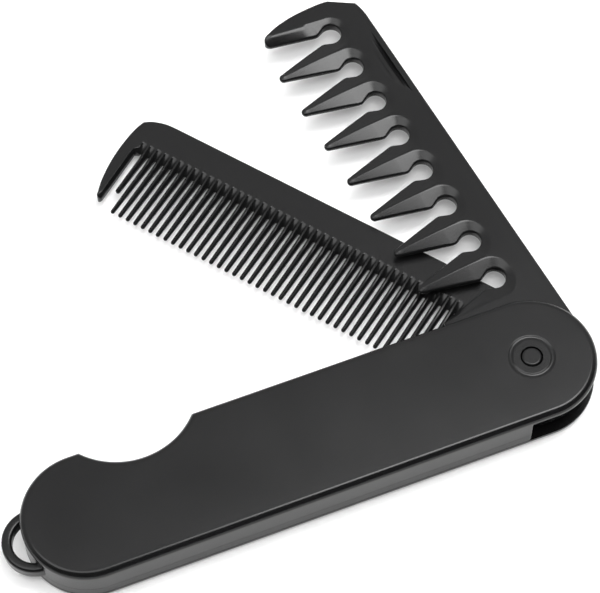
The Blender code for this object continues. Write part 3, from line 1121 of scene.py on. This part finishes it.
@dataclass
class Handle:
    """The handle: two shells, the cord loop and the pivot pin, in millimetres.

    Attributes:
        half_width: Half the handle's width, and the radius of both round ends.
        far_x: Centre of the far round end.
        thickness: Height over both shells.
        plate: Thickness of a plate.
        edge_round: Rounding of a plate's outer edge.
        wall: Thickness of the spine wall.
        wall_inset: How far it stands back from the plates' edge.
        wall_stop_x: Where the wall ends near the pivot.
        wall_wrap_deg: How far it goes on round the far end.
        parting_z: Height of the joint between the shells.
        parting_gap: Height of the fine groove at that joint.
        parting_round: Rounding of the edges beside it.
        overlap: How far the wall is sunk into a plate that it joins.
        notch: Centre of the finger notch's arc, from the open side's line.
        notch_radius: Radius of the notch.
        loop_x: Centre of the cord loop.
        loop_radius: Outer radius of the loop.
        loop_hole: Radius of the loop's hole.
        loop_z: Lower and upper face of the loop.
        loop_round: Rounding of the loop's edges.
        loop_end_deg: Angle from the handle's middle at which the loop ends inside the wall.
        ring: Inner and outer radius, width of a side and depth of the groove round the pin.
        ring_clear: How far the groove's cutter stands out of the plate along its edges.
        pin_radius: Radius of the pivot pin.
        pin_z: Its lower and upper end.
        pin_round: Rounding of its head.
        bore_radius: Radius of the hole for it.
        socket_z: Floor of the hole in the base plate.
    """

    half_width: float = 15.9
    far_x: float = -112.9
    thickness: float = 13.0
    plate: float = 2.1
    edge_round: float = 1.6
    wall: float = 2.0
    wall_inset: float = 0.05
    wall_stop_x: float = -5.8
    wall_wrap_deg: float = 135.0
    parting_z: float = 5.1
    parting_gap: float = 0.02
    parting_round: float = 0.05
    overlap: float = 0.3
    notch: Point = (-95.6, 28.1)
    notch_radius: float = 18.7
    loop_x: float = -126.1
    loop_radius: float = 8.05
    loop_hole: float = 5.6
    loop_z: Point = (5.0, 8.7)
    loop_round: float = 0.75
    loop_end_deg: float = 87.0
    ring: tuple[float, float, float, float] = (4.3, 5.95, 0.75, 0.17)
    ring_clear: float = 0.01
    pin_radius: float = 2.5
    pin_z: Point = (0.9, 13.1)
    pin_round: float = 0.6
    bore_radius: float = 2.75
    socket_z: float = 0.6

    def outline(self) -> list[Point]:
        """Draws the plates' outline: round pivot end, finger notch and round far end.

        Returns:
            Points round a plate, counter-clockwise.
        """
        near = math.degrees(math.asin((self.half_width - self.notch[1]) / self.notch_radius))
        path = arc((0.0, 0.0), self.half_width, -90.0, 90.0, 2.0)
        path += arc(self.notch, self.notch_radius, near, -180.0 - near, 2.5)
        path += arc((self.far_x, 0.0), self.half_width, 90.0, 270.0, 2.0)
        return path

    def wall_outline(self) -> list[Point]:
        """Draws the spine wall, from its stop near the pivot round the far end.

        Returns:
            Points round the wall.
        """
        outer = self.half_width - self.wall_inset
        inner = self.half_width - self.wall
        nose = 0.5 * (outer - inner)
        path = arc((self.wall_stop_x - nose, -0.5 * (outer + inner)), nose, 90.0, -90.0, 12.0)
        path += arc((self.far_x, 0.0), outer, 270.0, self.wall_wrap_deg, 2.0)
        path += arc((self.far_x, 0.0), inner, self.wall_wrap_deg, 270.0, 2.0)
        return path

    def loop(self) -> bpy.types.Object:
        """Makes the cord loop as an open ring of rounded section, whose ends run into the wall.

        Returns:
            The loop.
        """
        low, high = self.loop_z
        round_by = self.loop_round
        inner, outer = self.loop_hole + round_by, self.loop_radius - round_by
        section = []
        for start, at, z in ((0.0, outer, high - round_by), (90.0, inner, high - round_by),
                             (180.0, inner, low + round_by), (270.0, outer, low + round_by)):
            section += arc((at, z), round_by, start, start + 90.0, 15.0)
        return turned_ring("cord_loop", (self.loop_x, 0.0), section, self.loop_end_deg,
                           360.0 - self.loop_end_deg, 72)

    def top_shell(self) -> bpy.types.Object:
        """Builds the cover plate, the upper half of the wall and the cord loop.

        Returns:
            The upper shell.
        """
        top = self.thickness
        shell = flat_solid("handle_top", self.outline(), top - self.plate, top)
        round_rim(shell, top, self.edge_round, 10)
        low = self.parting_z + 0.5 * self.parting_gap
        wall = flat_solid("wall", self.wall_outline(), low, top - self.plate + self.overlap)
        round_rim(wall, low, self.parting_round, 2)
        combine(wall, self.loop(), "UNION")
        combine(shell, wall, "UNION")
        bore = cylinder("bore", (0.0, 0.0), self.bore_radius, self.parting_z, THROUGH)
        combine(shell, bore, "DIFFERENCE")
        inner, outer, slope, depth = self.ring
        side = [(slope * k / 8, top - depth * ease(k / 8) + self.ring_clear) for k in range(9)]
        ring = [(inner, top + depth)] + [(inner + away, z) for away, z in side]
        ring += [(outer - away, z) for away, z in side[::-1]] + [(outer, top + depth)]
        combine(shell, turned_ring("ring_groove", (0.0, 0.0), ring), "DIFFERENCE")
        finish_shape(shell)
        return shell

    def bottom_shell(self) -> bpy.types.Object:
        """Builds the base plate and the lower half of the wall.

        Returns:
            The lower shell.
        """
        shell = flat_solid("handle_bottom", self.outline(), 0.0, self.plate)
        round_rim(shell, 0.0, self.edge_round, 10)
        high = self.parting_z - 0.5 * self.parting_gap
        wall = flat_solid("wall", self.wall_outline(), self.plate - self.overlap, high)
        round_rim(wall, high, self.parting_round, 2)
        combine(shell, wall, "UNION")
        socket = cylinder("socket", (0.0, 0.0), self.bore_radius, self.socket_z, THROUGH)
        combine(shell, socket, "DIFFERENCE")
        finish_shape(shell)
        return shell

    def pin(self) -> bpy.types.Object:
        """Builds the pivot pin with its rounded head.

        Returns:
            The pin.
        """
        outline = arc((0.0, 0.0), self.pin_radius, 0.0, 356.0, 4.0)
        pin = flat_solid("pivot_pin_head", outline, *self.pin_z)
        round_rim(pin, self.pin_z[1], self.pin_round, 5)
        finish_shape(pin)
        return pin


@dataclass
class Studio:
    """The floor, the lights and the camera.

    Attributes:
        azimuth: Camera's bearing in degrees, 0 looking along +Y.
        elevation: Camera's height above the horizon in degrees.
        roll: Camera's turn about its own axis in degrees.
        lens: Focal length for a sensor 36 mm wide.
        offset: Row frame's origin seen from the camera, across and up, in millimetres.
        distance: Its distance along the view in millimetres.
        floor_size: Side of the floor in metres.
        floor_glow: Light that the floor gives off, which keeps it white round the comb.
        floor_tone: Share of the falling light that it gives back.
        box_height: Height of the softboxes in metres.
        box_fade: Share of a softbox's half size over which it fades, inwards and outwards.
        main_box: Middle and size of the main softbox, in metres, up to half its brightness.
        main_glow: Its brightness.
        side_box: Middle and size of the dim softbox at the left.
        side_glow: Its brightness.
        fill_place: Place of the small light that only shows in what it lights.
        fill_size: Its side in metres.
        fill_watts: Its power.
        near_glow: Brightness of the surroundings on the camera's side.
        far_glow: Brightness of the surroundings on the far side.
        fade_range: How far along Y a direction points where the near side ends and the far begins.
    """

    azimuth: float = -19.70
    elevation: float = 61.94
    roll: float = -1.40
    lens: float = 144.34
    offset: Point = (55.94, -20.56)
    distance: float = 590.3
    floor_size: float = 4.0
    floor_glow: float = 0.13
    floor_tone: float = 0.86
    box_height: float = 1.1
    box_fade: float = 0.3
    main_box: tuple[Point, Point] = ((0.27, 0.09), (0.54, 0.44))
    main_glow: float = 13.5
    side_box: tuple[Point, Point] = ((-0.425, 0.12), (0.75, 0.50))
    side_glow: float = 4.0
    fill_place: tuple[float, float, float] = (-0.10, -0.275, 1.1)
    fill_size: float = 0.45
    fill_watts: float = 9.5
    near_glow: float = 0.06
    far_glow: float = 0.85
    fade_range: Point = (-0.2, 0.3)

    def camera(self) -> None:
        """Places the camera at the photograph's angle."""
        turn = math.radians(self.azimuth)
        lift = math.radians(self.elevation)
        roll = math.radians(self.roll)
        back = Vector((math.sin(turn) * math.cos(lift), -math.cos(turn) * math.cos(lift),
                       math.sin(lift)))
        right = Vector((math.cos(turn), math.sin(turn), 0.0))
        up = back.cross(right)
        across = right * math.cos(roll) + up * math.sin(roll)
        above = up * math.cos(roll) - right * math.sin(roll)
        place = (back * self.distance - across * self.offset[0] - above * self.offset[1]) * MM
        view = bpy.data.cameras.new("photo_view")
        view.lens = self.lens
        view.sensor_width = 36.0
        view.clip_start = 0.01
        view.clip_end = 20.0
        camera = bpy.data.objects.new("photo_view", view)
        rotation = Matrix((across, above, back)).transposed().to_4x4()
        camera.matrix_world = Matrix.Translation(place) @ rotation
        bpy.context.scene.collection.objects.link(camera)
        bpy.context.scene.camera = camera

    def floor(self) -> None:
        """Lays the pale floor."""
        bm = bmesh.new()
        bmesh.ops.create_grid(bm, x_segments=1, y_segments=1, size=0.5 * self.floor_size)
        floor = link_mesh(bm, "floor")
        material = bpy.data.materials.new("pale_floor")
        material.use_nodes = True
        tree = material.node_tree
        shader = tree.nodes["Principled BSDF"]
        tone = (self.floor_tone, self.floor_tone, self.floor_tone, 1.0)
        for name, value in (("Base Color", tone), ("Roughness", 0.8), ("Specular IOR Level", 0.1),
                            ("Emission Color", WHITE), ("Emission Strength", self.floor_glow)):
            shader.inputs[name].default_value = value
        floor.data.materials.append(material)

    def softbox(self, name: str, middle: Point, size: Point, brightness: float) -> None:
        """Hangs an overhead softbox, whose brightness fades towards its edges.

        Args:
            name: Its name.
            middle: Its middle in metres.
            size: Its width and depth in metres.
            brightness: Its brightness.
        """
        bm = bmesh.new()
        bmesh.ops.create_grid(bm, x_segments=1, y_segments=1, size=1.0)
        box = link_mesh(bm, name)
        reach = 0.5 * (1.0 + self.box_fade)
        box.scale = (reach * size[0], reach * size[1], 1.0)
        box.location = (*middle, self.box_height)
        box.visible_camera = False
        material = bpy.data.materials.new(f"{name}_cloth")
        material.use_nodes = True
        tree = material.node_tree
        tree.nodes.clear()
        link = tree.links.new
        parts = add_node(tree, "SeparateXYZ")
        link(add_node(tree, "TexCoord").outputs["Object"], parts.inputs["Vector"])
        glow = add_node(tree, "Math")
        glow.operation = "MULTIPLY"
        for index, axis in enumerate("XY"):
            away = add_node(tree, "Math")
            away.operation = "ABSOLUTE"
            link(parts.outputs[axis], away.inputs[0])
            start = (1.0 - self.box_fade) / (1.0 + self.box_fade)
            fade = add_node(tree, "MapRange", From_Min=start, From_Max=1.0,
                            To_Min=math.sqrt(brightness), To_Max=0.0)
            fade.interpolation_type = "SMOOTHSTEP"
            link(away.outputs["Value"], fade.inputs["Value"])
            link(fade.outputs["Result"], glow.inputs[index])
        shine = add_node(tree, "Emission")
        link(glow.outputs["Value"], shine.inputs["Strength"])
        link(shine.outputs["Emission"], add_node(tree, "OutputMaterial").inputs["Surface"])
        box.data.materials.append(material)

    def fill(self) -> None:
        """Hangs the small overhead light, which no surface mirrors."""
        shine = bpy.data.lights.new("fill", "AREA")
        shine.size = self.fill_size
        shine.energy = self.fill_watts
        lamp = bpy.data.objects.new("fill", shine)
        lamp.location = self.fill_place
        lamp.visible_glossy = False
        bpy.context.scene.collection.objects.link(lamp)

    def world(self) -> None:
        """Sets a dim surrounding that is darker on the camera's side."""
        world = bpy.data.worlds.new("surrounding")
        world.use_nodes = True
        tree = world.node_tree
        back = tree.nodes["Background"]
        back.inputs["Color"].default_value = WHITE
        parts = add_node(tree, "SeparateXYZ")
        tree.links.new(add_node(tree, "TexCoord").outputs["Generated"], parts.inputs["Vector"])
        fade = add_node(tree, "MapRange", From_Min=self.fade_range[0], From_Max=self.fade_range[1],
                        To_Min=self.near_glow, To_Max=self.far_glow)
        tree.links.new(parts.outputs["Y"], fade.inputs["Value"])
        tree.links.new(fade.outputs["Result"], back.inputs["Strength"])
        bpy.context.scene.world = world

    def build(self) -> None:
        """Sets the whole stage."""
        self.camera()
        self.floor()
        self.world()
        self.softbox("main_softbox", *self.main_box, self.main_glow)
        self.softbox("side_softbox", *self.side_box, self.side_glow)
        self.fill()
        bpy.context.scene.view_settings.view_transform = "Standard"


def dress(item: bpy.types.Object, finish: MouldedPlastic, body: Body, slot: Slot,
          *nodes: str) -> None:
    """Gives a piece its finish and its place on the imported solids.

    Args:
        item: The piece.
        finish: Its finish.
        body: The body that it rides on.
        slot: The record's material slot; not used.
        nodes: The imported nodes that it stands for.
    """
    item.data.materials.clear()
    item.data.materials.append(finish.material())
    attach(item, body.value)
    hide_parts(*nodes)
    LOG.info("%s: %d faces on %s", item.name, len(item.data.polygons), body.value)


def main() -> None:
    """Builds every sub-assembly in order."""
    logging.basicConfig(level=logging.INFO, format="%(name)s: %(message)s")
    shell = MouldedPlastic("shell_plastic", (0.006, 0.006, 0.0062))
    blade = MouldedPlastic("blade_plastic", (0.007, 0.007, 0.0072))
    studio = Studio()
    studio.build()
    handle = Handle()
    dress(handle.top_shell(), shell, Body.HANDLE, Slot.HANDLE, "top_shell")
    dress(handle.bottom_shell(), shell, Body.HANDLE, Slot.HANDLE, "bottom_shell")
    dress(handle.pin(), shell, Body.HANDLE, Slot.PIN, "pivot_pin")
    dress(FineComb().build(), blade, Body.FINE, Slot.FINE, "fine_comb")
    dress(WideComb().build(), blade, Body.WIDE, Slot.WIDE, "wide_comb")


if __name__ == "__main__":
    main()
